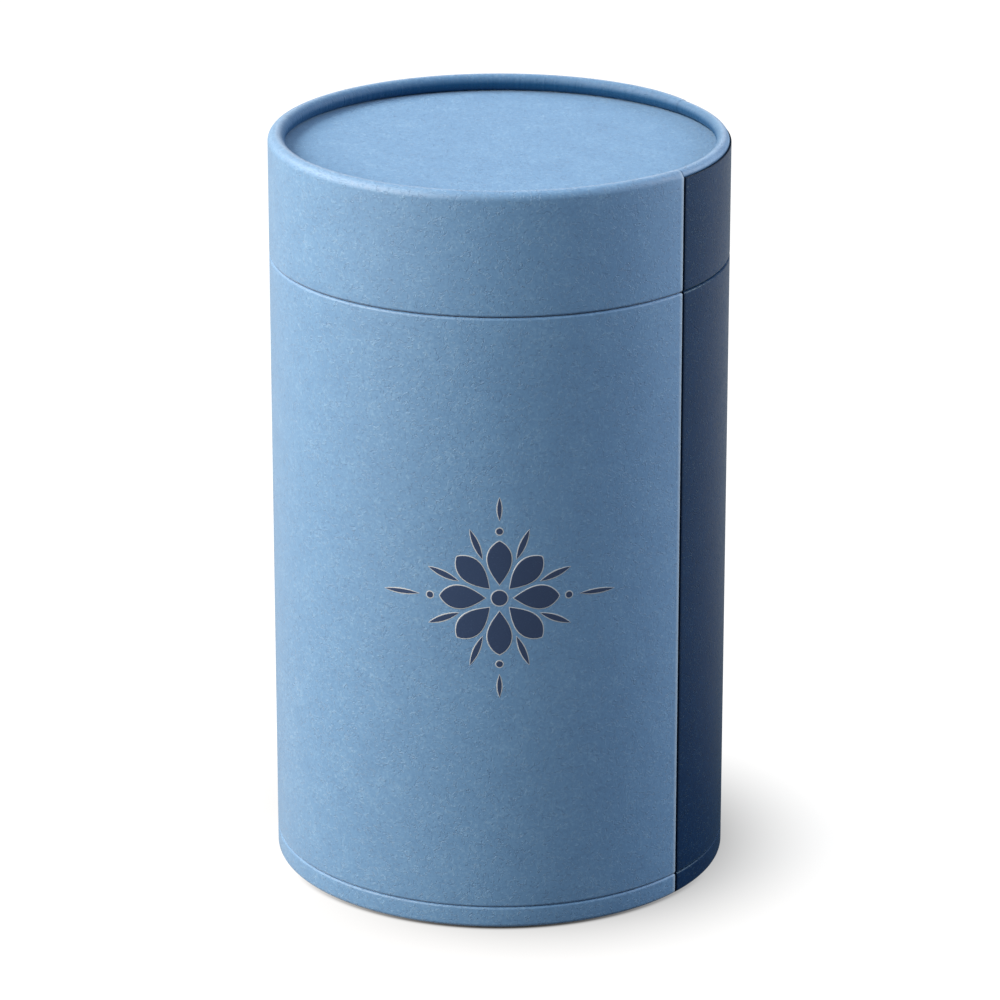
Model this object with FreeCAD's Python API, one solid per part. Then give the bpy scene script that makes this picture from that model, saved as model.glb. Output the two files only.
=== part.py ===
"""Cylindrical gift tube box of wound board, covered in coloured paper.

A lift-off lid with a rolled rim sits flush on a double-walled body. The inner tube of the body rises past
the seam as a neck, and the lid slides over it. A narrow base band closes the foot. The cover is two papers:
a broad wrap and a narrower side panel, which meet in two upright seams.

Frame: millimetres, +Z up along the tube's axis, origin at the centre of the foot, front towards -Y.
"""

import math
import os

import FreeCAD
import Part

# Overall sizes
outer_diameter = 100.0
total_height = 165.5
lid_height = 26.8
base_height = 4.8

# Papers, glue and fits
cover_paper = 0.35
rim_paper = 0.2
lining_paper = 0.2
glue_line = 0.05
neck_clearance = 0.3
edge_gap = 0.1
lid_seam_gap = 0.2
base_seam_gap = 0.1

# Boards
lid_board = 1.5
neck_board = 1.5
top_board = 2.0
base_board = 2.0
board_edge_radius = 0.15

# Rolled rim of the lid, measured over its paper, how far its binding tucks under the covers, and how far its
# papers run on under the roll past its inner side
rim_roll_radius = 1.85
rim_tuck = 0.6
rim_under_angle = 75.0

# Neck that the lid slides over, and whose lip carries the lid's ceiling
neck_lip_radius = 0.4
neck_turn_in = 9.0

# Turn-ins and folds of the cover papers
lid_turn_in = 8.0
foot_fold_radius = 0.6
base_recess = 2.0

# Side panel: where it starts, counted from the front towards +X, how far it runs, and its seams
panel_start_angle = 51.0
panel_sweep = 72.0
seam_gap = 0.5
lap_width = 4.0
lap_paper = 0.15

# Radii, from the outside inwards
outer_radius = outer_diameter / 2
cover_seat_radius = outer_radius - cover_paper
board_outer_radius = cover_seat_radius - glue_line
lid_board_inner_radius = board_outer_radius - lid_board
lid_flap_seat_radius = lid_board_inner_radius - glue_line
neck_outer_radius = lid_flap_seat_radius - cover_paper - neck_clearance
neck_facing_seat_radius = neck_outer_radius - lining_paper
neck_board_outer_radius = neck_facing_seat_radius - glue_line
neck_board_inner_radius = neck_board_outer_radius - neck_board
neck_lining_seat_radius = neck_board_inner_radius - glue_line
cavity_radius = neck_lining_seat_radius - lining_paper

# Heights, from the floor upwards
seam_height = total_height - lid_height
body_top = seam_height - lid_seam_gap
body_low = base_height + base_seam_gap
roll_centre_height = total_height - rim_roll_radius
top_sheet_height = total_height - rim_roll_radius - rim_roll_radius
top_disc_height = top_sheet_height - cover_paper - glue_line
ceiling_sheet_height = top_disc_height - top_board - glue_line
neck_top = ceiling_sheet_height - lining_paper
base_disc_height = base_recess + cover_paper + glue_line
floor_sheet_height = base_disc_height + base_board + glue_line

# Folds against the board's rounded edges
board_fold_radius = board_edge_radius + glue_line
AXIS_START = FreeCAD.Vector(0, 0, 0)
AXIS = FreeCAD.Vector(0, 0, 1)
FULL_TURN = 360.0
FRONT_ANGLE = -90.0
SQUARE = 0.0


def section_point(radius, height):
    """A point of a radial section, drawn in the XZ plane."""
    return FreeCAD.Vector(radius, 0, height)


def corner_cut(before, corner, after, radius):
    """Where an arc of this radius starts and ends at a corner, and its middle."""
    to_before = (before - corner).normalize()
    to_after = (after - corner).normalize()
    half_angle = to_before.getAngle(to_after) / 2
    reach = radius / math.tan(half_angle)
    bisector = (to_before + to_after).normalize()
    centre = corner + bisector * (radius / math.sin(half_angle))
    return corner + to_before * reach, centre - bisector * radius, corner + to_after * reach


def rounded_edges(points, radii, closed):
    """Straight edges through the points, with a tangent arc at each corner that has a radius."""
    count = len(points)
    starts = list(points)
    ends = list(points)
    arcs = [None] * count
    for index, radius in enumerate(radii):
        if radius > 0:
            before = points[index - 1]
            after = points[(index + 1) % count]
            starts[index], middle, ends[index] = corner_cut(before, points[index], after, radius)
            arcs[index] = Part.Arc(starts[index], middle, ends[index]).toShape()
    edges = []
    for index in range(count):
        if arcs[index]:
            edges.append(arcs[index])
        following = (index + 1) % count
        last = index == count - 1
        if last and not closed:
            break
        if not ends[index].isEqual(starts[following], Part.Precision.confusion()):
            edges.append(Part.LineSegment(ends[index], starts[following]).toShape())
    return edges


def board_section(corners):
    """Face of a board's section from (radius, height, corner radius) rows."""
    points = [section_point(radius, height) for radius, height, _ in corners]
    radii = [corner_radius for _, _, corner_radius in corners]
    return Part.Face(Part.Wire(rounded_edges(points, radii, closed=True)))


def paper_section(path, thickness):
    """Face of a folded paper's section.

    The path runs against the board with every fold to the left, and the paper lies on its right. Its rows are
    (radius, height, fold radius against the board).
    """
    seat = [section_point(radius, height) for radius, height, _ in path]
    folds = [fold for _, _, fold in path]
    sides = []
    for start, end in zip(seat, seat[1:]):
        along = (end - start).normalize()
        sides.append(FreeCAD.Vector(along.z, 0, -along.x) * thickness)
    outside = [seat[0] + sides[0]]
    for index in range(1, len(seat) - 1):
        before, after = sides[index - 1], sides[index]
        mitre_share = thickness**2 / (thickness**2 + before.dot(after))
        outside.append(seat[index] + (before + after) * mitre_share)
    outside.append(seat[-1] + sides[-1])
    outer_folds = [fold + thickness if fold > 0 else SQUARE for fold in folds]
    edges = rounded_edges(seat, folds, closed=False)
    edges.append(Part.LineSegment(seat[-1], outside[-1]).toShape())
    edges += rounded_edges(outside[::-1], outer_folds[::-1], closed=False)
    edges.append(Part.LineSegment(outside[0], seat[0]).toShape())
    return Part.Face(Part.Wire(Part.__sortEdges__(edges)))


def turned(face, start_angle=0.0, sweep=FULL_TURN):
    """The solid that a radial section sweeps about the tube's axis."""
    placed = face.copy()
    placed.rotate(AXIS_START, AXIS, start_angle)
    return placed.revolve(AXIS_START, AXIS, sweep)


def only_solid(shape):
    """The one solid in the result of a cut or a fuse."""
    return shape.Solids[0]


def flat_ring(inner_radius, outer_radius_of_ring, low, high):
    """A plain ring or, with no inner radius, a disc."""
    rows = [
        (inner_radius, low, SQUARE),
        (outer_radius_of_ring, low, SQUARE),
        (outer_radius_of_ring, high, SQUARE),
        (inner_radius, high, SQUARE),
    ]
    return turned(board_section(rows))


def two_papers(wrap_path, panel_path, radius):
    """The broad wrap and the side panel that go once round, with the panel's skived laps under the wrap."""
    half_gap = math.degrees(seam_gap / radius) / 2
    lap_sweep = math.degrees(lap_width / radius)
    glue_sweep = math.degrees(glue_line / radius)
    panel_begin = FRONT_ANGLE + panel_start_angle + half_gap
    panel_run = panel_sweep - half_gap - half_gap
    wrap_begin = panel_begin + panel_run + half_gap + half_gap
    wrap_run = FULL_TURN - panel_run - 4 * half_gap
    lap_begin = panel_begin - half_gap - half_gap - lap_sweep
    lap_run = panel_run + 2 * (panel_begin - lap_begin)

    panel = turned(paper_section(panel_path, cover_paper), panel_begin, panel_run)
    lap = turned(paper_section(panel_path, lap_paper), lap_begin, lap_run)
    rebate = turned(
        paper_section(panel_path, lap_paper + glue_line), lap_begin - glue_sweep, lap_run + 2 * glue_sweep
    )
    wrap = turned(paper_section(wrap_path, cover_paper), wrap_begin, wrap_run)
    return only_solid(wrap.cut(rebate)), only_solid(panel.fuse(lap).removeSplitter())


def over_rim_path(seat_radius):
    """Path rows over the rolled rim and under its inner side, for a paper this far from its centre line."""
    centre_radius = outer_radius - rim_roll_radius
    under = math.radians(rim_under_angle)
    reach = seat_radius * math.tan(under / 2)
    end_radius = centre_radius - seat_radius * math.cos(under)
    end_height = roll_centre_height - seat_radius * math.sin(under)
    return [
        (centre_radius + seat_radius, roll_centre_height + seat_radius, seat_radius),
        (centre_radius - seat_radius, roll_centre_height + seat_radius, seat_radius),
        (centre_radius - seat_radius, roll_centre_height - reach, seat_radius),
        (end_radius, end_height, SQUARE),
    ]


def make_lid_tube():
    """Wound wall of the lid, with its top curled inwards into the rim."""
    low = seam_height + cover_paper + glue_line
    roll_centre_radius = outer_radius - rim_roll_radius
    curl_radius = rim_roll_radius - cover_paper - glue_line - rim_paper - glue_line
    curl_side = lid_board_inner_radius - roll_centre_radius
    curl_drop = math.sqrt(curl_radius**2 - curl_side**2)
    inner_low = section_point(lid_board_inner_radius, low)
    outer_low = section_point(board_outer_radius, low)
    ledge_height = roll_centre_height - rim_tuck - glue_line
    ledge_outer = section_point(board_outer_radius, ledge_height)
    ledge_inner = section_point(roll_centre_radius + curl_radius, ledge_height)
    outer_side = section_point(roll_centre_radius + curl_radius, roll_centre_height)
    crest = section_point(roll_centre_radius, roll_centre_height + curl_radius)
    inner_side = section_point(roll_centre_radius - curl_radius, roll_centre_height)
    slant = curl_radius * math.cos(math.pi / 4)
    under = section_point(roll_centre_radius - slant, roll_centre_height - slant)
    curl_end = section_point(lid_board_inner_radius, roll_centre_height - curl_drop)
    in_cut = corner_cut(curl_end, inner_low, outer_low, board_edge_radius)
    out_cut = corner_cut(inner_low, outer_low, ledge_outer, board_edge_radius)
    edges = [
        Part.Arc(*in_cut),
        Part.LineSegment(in_cut[2], out_cut[0]),
        Part.Arc(*out_cut),
        Part.LineSegment(out_cut[2], ledge_outer),
        Part.LineSegment(ledge_outer, ledge_inner),
        Part.LineSegment(ledge_inner, outer_side),
        Part.Arc(outer_side, crest, inner_side),
        Part.Arc(inner_side, under, curl_end),
        Part.LineSegment(curl_end, in_cut[0]),
    ]
    return turned(Part.Face(Part.Wire([edge.toShape() for edge in edges])))


def make_lid_rim_binding():
    """Paper ring over the rolled rim, which shows above the side panel and lies under the wrap elsewhere."""
    seat_radius = rim_roll_radius - cover_paper - glue_line - rim_paper
    tuck = (outer_radius - rim_roll_radius + seat_radius, roll_centre_height - rim_tuck, SQUARE)
    return turned(paper_section([tuck] + over_rim_path(seat_radius), rim_paper))


def make_lid_cover():
    """Cover papers of the lid: both turn in under its lower edge, and the wrap runs on over the rim."""
    seat_low = seam_height + cover_paper
    turn_in = [
        (lid_flap_seat_radius, seat_low + lid_turn_in, SQUARE),
        (lid_flap_seat_radius, seat_low, board_fold_radius),
        (cover_seat_radius, seat_low, board_fold_radius),
    ]
    over_rim = over_rim_path(rim_roll_radius - cover_paper)
    below_rim = [(cover_seat_radius, roll_centre_height, SQUARE)]
    return two_papers(turn_in + over_rim, turn_in + below_rim, outer_radius)


def make_lid_top():
    """Recessed top of the lid: a board disc with a cover sheet above and a lining sheet below."""
    disc = flat_ring(0, lid_flap_seat_radius, top_disc_height - top_board, top_disc_height)
    sheet = flat_ring(0, lid_flap_seat_radius, top_sheet_height - cover_paper, top_sheet_height)
    ceiling_radius = lid_flap_seat_radius - lining_paper - edge_gap
    ceiling = flat_ring(0, ceiling_radius, ceiling_sheet_height - lining_paper, ceiling_sheet_height)
    return disc, sheet, ceiling


def make_lid_lining():
    """Paper that lines the lid's wall from the turn-in up to the ceiling."""
    low = seam_height + cover_paper + lid_turn_in + edge_gap
    return flat_ring(lid_flap_seat_radius - lining_paper, lid_flap_seat_radius, low, ceiling_sheet_height)


def make_body_tube():
    """Outer wound wall of the body."""
    inner = neck_outer_radius + glue_line
    low = body_low + cover_paper + glue_line
    high = body_top - cover_paper - glue_line
    rows = [
        (inner, low, SQUARE),
        (board_outer_radius, low, board_edge_radius),
        (board_outer_radius, high, board_edge_radius),
        (inner, high, SQUARE),
    ]
    return turned(board_section(rows))


def make_body_cover():
    """Cover papers of the body, turned in over both ends of its wall as far as the neck."""
    inner = neck_outer_radius + edge_gap
    path = [
        (inner, body_low + cover_paper, SQUARE),
        (cover_seat_radius, body_low + cover_paper, board_fold_radius),
        (cover_seat_radius, body_top - cover_paper, board_fold_radius),
        (inner, body_top - cover_paper, SQUARE),
    ]
    return two_papers(path, path, outer_radius)


def make_inner_tube():
    """Inner wound tube: it lines the body from the foot up and rises past the seam as the neck."""
    low = cover_paper + glue_line
    high = neck_top - lining_paper - glue_line
    lip = neck_lip_radius - glue_line
    rows = [
        (neck_board_inner_radius, low, board_edge_radius),
        (neck_board_outer_radius, low, SQUARE),
        (neck_board_outer_radius, high, lip),
        (neck_board_inner_radius, high, lip),
    ]
    return turned(board_section(rows))


def make_neck_facing():
    """Paper on the outside of the inner tube, turned over the lip of the neck."""
    seat_top = neck_top - lining_paper
    path = [
        (neck_facing_seat_radius, base_height + edge_gap, SQUARE),
        (neck_facing_seat_radius, seat_top, neck_lip_radius),
        (neck_lining_seat_radius, seat_top, neck_lip_radius),
        (neck_lining_seat_radius, seat_top - neck_turn_in, SQUARE),
    ]
    return turned(paper_section(path, lining_paper))


def make_inner_lining():
    """Paper that lines the cavity from the floor up to the neck's turn-in."""
    high = neck_top - lining_paper - neck_turn_in - edge_gap
    return flat_ring(cavity_radius, neck_lining_seat_radius, floor_sheet_height, high)


def make_base_ring():
    """Board ring of the base band, round the foot of the inner tube."""
    inner = neck_board_outer_radius + glue_line
    low = cover_paper + glue_line
    high = base_height - cover_paper - glue_line
    rows = [
        (inner, low, SQUARE),
        (board_outer_radius, low, foot_fold_radius - glue_line),
        (board_outer_radius, high, board_edge_radius),
        (inner, high, SQUARE),
    ]
    return turned(board_section(rows))


def make_base_cover():
    """Cover papers of the base band: over its top edge, down the outside, under the foot and into the recess."""
    path = [
        (neck_lining_seat_radius, base_disc_height - edge_gap, SQUARE),
        (neck_lining_seat_radius, cover_paper, board_fold_radius),
        (cover_seat_radius, cover_paper, foot_fold_radius),
        (cover_seat_radius, base_height - cover_paper, board_fold_radius),
        (neck_board_outer_radius + edge_gap, base_height - cover_paper, SQUARE),
    ]
    return two_papers(path, path, outer_radius)


def make_base_floor():
    """Floor of the box: a board disc with a lining sheet inside and a cover sheet underneath."""
    disc = flat_ring(0, neck_lining_seat_radius, base_disc_height, base_disc_height + base_board)
    floor = flat_ring(0, cavity_radius - edge_gap, floor_sheet_height, floor_sheet_height + lining_paper)
    underside_radius = neck_lining_seat_radius - cover_paper - edge_gap
    underside = flat_ring(0, underside_radius, base_recess, base_recess + cover_paper)
    return disc, floor, underside


def make_parts():
    """Every piece of the box by its node's name."""
    parts = {}
    parts["lid_tube"] = make_lid_tube()
    parts["lid_rim_binding"] = make_lid_rim_binding()
    parts["lid_wrap"], parts["lid_side_panel"] = make_lid_cover()
    parts["lid_top_disc"], parts["lid_top_sheet"], parts["lid_ceiling_sheet"] = make_lid_top()
    parts["lid_lining"] = make_lid_lining()
    parts["body_tube"] = make_body_tube()
    parts["body_wrap"], parts["body_side_panel"] = make_body_cover()
    parts["inner_tube"] = make_inner_tube()
    parts["neck_facing"] = make_neck_facing()
    parts["inner_lining"] = make_inner_lining()
    parts["base_ring"] = make_base_ring()
    parts["base_band"], parts["base_side_panel"] = make_base_cover()
    parts["base_disc"], parts["floor_sheet"], parts["base_sheet"] = make_base_floor()
    return parts


def main():
    """Writes one STEP file per piece."""
    os.makedirs("parts", exist_ok=True)
    for name, shape in make_parts().items():
        shape.exportStep(f"parts/{name}.step")
        print(f"{name}: solids {len(shape.Solids)}, valid {shape.isValid()}, volume {shape.Volume:.1f}")


if __name__ == "__main__":
    main()
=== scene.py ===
"""Looks of a cylindrical gift tube box: coloured papers folded over wound board, in soft studio light.

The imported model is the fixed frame: metres, +Z up along the tube's axis, front towards -Y. Each paper of the
box is worked out here as a thin folded sheet with rounded cut edges, and stands for the frame's node of the
same name. The boards keep the frame's meshes and get a finish. Angles round the tube count from the front
towards +X.
"""

import logging
import math
from dataclasses import dataclass, field, replace
from enum import Enum
from typing import Any, Sequence

import bpy
import numpy as np
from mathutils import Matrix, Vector
from numpy.typing import NDArray


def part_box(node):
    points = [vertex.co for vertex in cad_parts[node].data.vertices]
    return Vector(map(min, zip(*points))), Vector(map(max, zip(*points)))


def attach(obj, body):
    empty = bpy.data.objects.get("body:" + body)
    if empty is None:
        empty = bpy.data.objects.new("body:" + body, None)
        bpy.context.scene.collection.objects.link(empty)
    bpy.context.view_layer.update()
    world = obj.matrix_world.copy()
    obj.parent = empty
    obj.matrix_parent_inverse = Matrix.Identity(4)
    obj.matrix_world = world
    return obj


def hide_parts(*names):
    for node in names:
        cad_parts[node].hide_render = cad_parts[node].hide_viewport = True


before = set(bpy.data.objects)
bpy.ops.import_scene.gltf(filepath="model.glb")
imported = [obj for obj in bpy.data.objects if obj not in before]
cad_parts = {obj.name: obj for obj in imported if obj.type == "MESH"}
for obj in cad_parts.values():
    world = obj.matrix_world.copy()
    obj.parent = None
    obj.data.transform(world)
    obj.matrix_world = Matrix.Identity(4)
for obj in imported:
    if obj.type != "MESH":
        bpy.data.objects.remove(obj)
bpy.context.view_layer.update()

Array = NDArray[np.float64]
Colour = tuple[float, float, float, float]
Socket = bpy.types.NodeSocket

FULL_TURN = 2.0 * math.pi
WELD_DIGITS = 9
WHITE = (1.0, 1.0, 1.0, 1.0)
WARM = (1.0, 0.845, 0.695)

# Middle of a noise, and the span in which nearly all of it lies
NOISE_LOW, NOISE_MIDDLE, NOISE_HIGH = 0.3, 0.5, 0.7

# Places of the colour sockets on a Mix node, on which names repeat
MIX_SHARE, MIX_FIRST, MIX_SECOND, MIX_RESULT = 0, 6, 7, 2

log = logging.getLogger("gift_tube")


class Body(Enum):
    """Rigid bodies of the frame."""

    BOX = "box"
    LID = "lid"


class Slot(Enum):
    """Material slots of the record."""

    LIGHT_BLUE = "light_blue_paper"
    NAVY = "navy_paper"
    LINING = "white_lining_paper"
    BOARD = "grey_board"


class Seam(Enum):
    """What a paper does at its upright edges."""

    CLOSED = "goes once round with no edge"
    REBATE = "thinned at its edges, to lie over a neighbour's tongues"
    TONGUE = "skived at its edges into tongues under its neighbour"


class Mark(Enum):
    """Point attributes of a paper that its finish reads."""

    # painted shade in the seams' grooves
    CREASE_SHADE = "crease_shade"
    # painted highlight along an upright cut edge
    HIGHLIT_EDGE = "edge"
    # painted shade on the rim's inner side
    INNER_RIM_SHADE = "inner_rim_shade"


class Law(Enum):
    """How a value goes from one end of a ramp to the other."""

    SMOOTH = "SMOOTHSTEP"
    STRAIGHT = "LINEAR"


def foot_of(node: str) -> float:
    """Height of the lowest point of a node of the frame."""
    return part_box(node)[0].z


def top_of(node: str) -> float:
    """Height of the highest point of a node of the frame."""
    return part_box(node)[1].z


@dataclass(frozen=True)
class Corner:
    """One corner of a folded path in the radial plane, with the radius of its fold."""

    radius: float
    height: float
    fold: float = 0.0


@dataclass(frozen=True)
class PathPiece:
    """A straight run, or an arc that bends to the left, of a folded path."""

    start: Array
    heading: Array
    length: float
    bend: float

    def at(self, distance: Array) -> tuple[Array, Array]:
        """Places and outward normals along the piece.

        A straight run goes on along its heading. On an arc the heading turns left by distance over bend, and
        the place is the start plus bend times (sine along the heading, one less cosine to its left).

        Args:
            distance: Distances from the start of the piece.

        Returns:
            Places and right-hand unit normals, one row of (radius, height) each.
        """
        ahead = self.heading
        left = np.array([-ahead[1], ahead[0]])
        if self.bend == 0.0:
            places = self.start + distance[:, None] * ahead
            return places, np.broadcast_to(-left, places.shape)
        turn = distance / self.bend
        sine, cosine = np.sin(turn)[:, None], np.cos(turn)[:, None]
        places = self.start + self.bend * (sine * ahead + (1.0 - cosine) * left)
        return places, sine * ahead - cosine * left


class FoldedPath:
    """Seat line of a folded paper in the radial plane: straight runs, and tangent arcs that bend left."""

    def __init__(self, corners: Sequence[Corner]) -> None:
        """Splits the path into runs and arcs.

        Args:
            corners: The corners in order, with the paper on the right of the path.
        """
        points = np.array([[corner.radius, corner.height] for corner in corners])
        steps = np.diff(points, axis=0)
        lengths = np.linalg.norm(steps, axis=1)
        headings = steps / lengths[:, None]
        before, after = headings[:-1], headings[1:]
        cross = before[:, 0] * after[:, 1] - before[:, 1] * after[:, 0]
        turns = np.arctan2(cross, np.sum(before * after, axis=1))
        folds = np.array([corner.fold for corner in corners])
        reach = np.zeros(len(corners))
        reach[1:-1] = folds[1:-1] * np.tan(turns / 2.0)
        self.pieces: list[PathPiece] = []
        for index, heading in enumerate(headings):
            run = lengths[index] - reach[index] - reach[index + 1]
            start = points[index] + heading * reach[index]
            if run > 10.0**-WELD_DIGITS:
                self.pieces.append(PathPiece(start, heading, run, 0.0))
            if index < len(turns):
                bend = folds[index + 1]
                corner_start = points[index + 1] - heading * reach[index + 1]
                self.pieces.append(PathPiece(corner_start, heading, bend * turns[index], bend))
        self.ends = np.cumsum([piece.length for piece in self.pieces])
        self.length = float(self.ends[-1])

    def stations(self, straight_step: float, arc_step: float, edges: Array) -> Array:
        """Distances along the path at which the paper is sampled.

        Args:
            straight_step: Longest step on a straight run.
            arc_step: Longest step on an arc, as an angle.
            edges: Distances from each end at which extra rows stand.

        Returns:
            Sorted distances from 0 to the path's length.
        """
        rows = [edges, self.length - edges]
        begin = 0.0
        for piece in self.pieces:
            steps = piece.length / piece.bend / arc_step if piece.bend else piece.length / straight_step
            rows.append(begin + np.linspace(0.0, piece.length, max(1, math.ceil(steps)) + 1))
            begin += piece.length
        return np.unique(np.round(np.clip(np.concatenate(rows), 0.0, self.length), WELD_DIGITS))

    def at(self, distance: Array) -> tuple[Array, Array]:
        """Places and outward normals at distances along the whole path.

        Args:
            distance: Distances from the path's start.

        Returns:
            Places and right-hand unit normals, one row of (radius, height) each.
        """
        places = np.zeros((len(distance), 2))
        normals = np.zeros((len(distance), 2))
        which = np.clip(np.searchsorted(self.ends, distance), 0, len(self.pieces) - 1)
        for index, piece in enumerate(self.pieces):
            here = which == index
            begin = self.ends[index] - piece.length
            places[here], normals[here] = piece.at(distance[here] - begin)
        return places, normals


def nearness(distance: Array, reach: Array | float) -> Array:
    """1 at and before an edge, falling in a straight line to 0 at the reach."""
    return 1.0 - np.clip(distance / reach, 0.0, 1.0)


def between(first: Array | float, second: Array | float, share: Array) -> Array:
    """Value that goes from the first to the second by a share."""
    return first + (second - first) * share


def rounded_rise(distance: Array, radius: float) -> Array:
    """Quarter-round step from 0 at the edge to 1 at the radius: root of one less nearness squared."""
    return np.sqrt(np.clip(1.0 - nearness(distance, radius) ** 2, 0.0, 1.0))


def edge_rows(radius: float, count: int) -> Array:
    """Distances inside an edge that share a quarter-round of this radius into equal angles."""
    return radius * (1.0 - np.cos(np.linspace(0.0, math.pi / 2.0, count)))


def around(radius: Array | float, angle: Array, height: Array) -> Array:
    """Points of the frame from radius, angle from the front towards +X, and height."""
    radius, angle, height = np.broadcast_arrays(radius, angle, height)
    return np.stack([radius * np.sin(angle), -radius * np.cos(angle), height], axis=-1)


def closed_sheet(
    name: str, outer: Array, inner: Array, marks: dict[Mark, Array] | None = None
) -> bpy.types.Object:
    """Object of thin closed sheets, from two grids of points that meet along each sheet's edges.

    Points at the same place are welded, so that edges, poles and seams close, and faces that weld to a line
    are left out. The outer grid's faces look along (second direction) x (first direction).

    Args:
        name: Name of the object.
        outer: Points of the outer face, as rows, columns and coordinates, with sheets first if several.
        inner: Points of the inner face, in the same grid.
        marks: Values per grid point to keep as point attributes.

    Returns:
        The new object, in the scene at the origin.
    """
    rows, columns = outer.shape[-3:-1]
    points = np.concatenate([outer.reshape(-1, 3), inner.reshape(-1, 3)])
    grid = np.arange(len(points) // 2).reshape(-1, rows, columns)
    corners = [grid[:, :-1, :-1], grid[:, :-1, 1:], grid[:, 1:, 1:], grid[:, 1:, :-1]]
    quads = np.stack(corners, axis=-1).reshape(-1, 4)
    quads = np.concatenate([quads, quads[:, ::-1] + grid.size])
    keys = np.round(points, WELD_DIGITS) + 0.0
    _, first, weld = np.unique(keys, axis=0, return_index=True, return_inverse=True)
    quads = weld.reshape(-1)[quads]
    kept = quads != np.roll(quads, -1, axis=1)
    whole = quads[kept.all(axis=1)]
    pinched = kept.sum(axis=1) == 3
    pointed = quads[pinched][kept[pinched]].reshape(-1, 3)
    mesh = bpy.data.meshes.new(name)
    mesh.from_pydata(points[first].tolist(), [], whole.tolist() + pointed.tolist())
    for mark, values in (marks or {}).items():
        attribute = mesh.attributes.new(mark.value, "FLOAT", "POINT")
        both = np.concatenate([values.reshape(-1), values.reshape(-1)])
        attribute.data.foreach_set("value", both[first])
    mesh.shade_smooth()
    made = bpy.data.objects.new(name, mesh)
    bpy.context.scene.collection.objects.link(made)
    return made


@dataclass(frozen=True)
class Papers:
    """Stock thicknesses and fits that every paper of the box shares."""

    cover: float = 0.00035
    rim: float = 0.0002
    lining: float = 0.0002
    glue: float = 0.00005
    edge_gap: float = 0.0001
    lap: float = 0.00015
    lap_width: float = 0.004
    seam_gap: float = 0.0005
    seam_rounding: float = 0.00022
    lip_share: float = 0.4
    # width of a painted highlight along upright cut edges
    pale_edge: float = 0.0006
    # width of the painted shade in the seams' grooves, and its depth on the rim's crest and inner side
    crease_reach: float = 0.0004
    crest_crease_share: float = 0.05
    inner_crease_share: float = 0.2
    skive_width: float = 0.004
    skive_share: float = 0.45
    crest_skive_width: float = 0.022
    crest_skive_share: float = 0.97
    straight_step: float = 0.004
    arc_step: float = math.radians(7.5)
    turn_step: float = math.radians(1.25)
    rounding_rows: int = 6


@dataclass(frozen=True)
class SidePanel:
    """Where the side panel lies round the tube."""

    start: float = math.radians(51.0)
    sweep: float = math.radians(72.0)

    @property
    def end(self) -> float:
        """Angle of the panel's far edge."""
        return self.start + self.sweep


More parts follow.
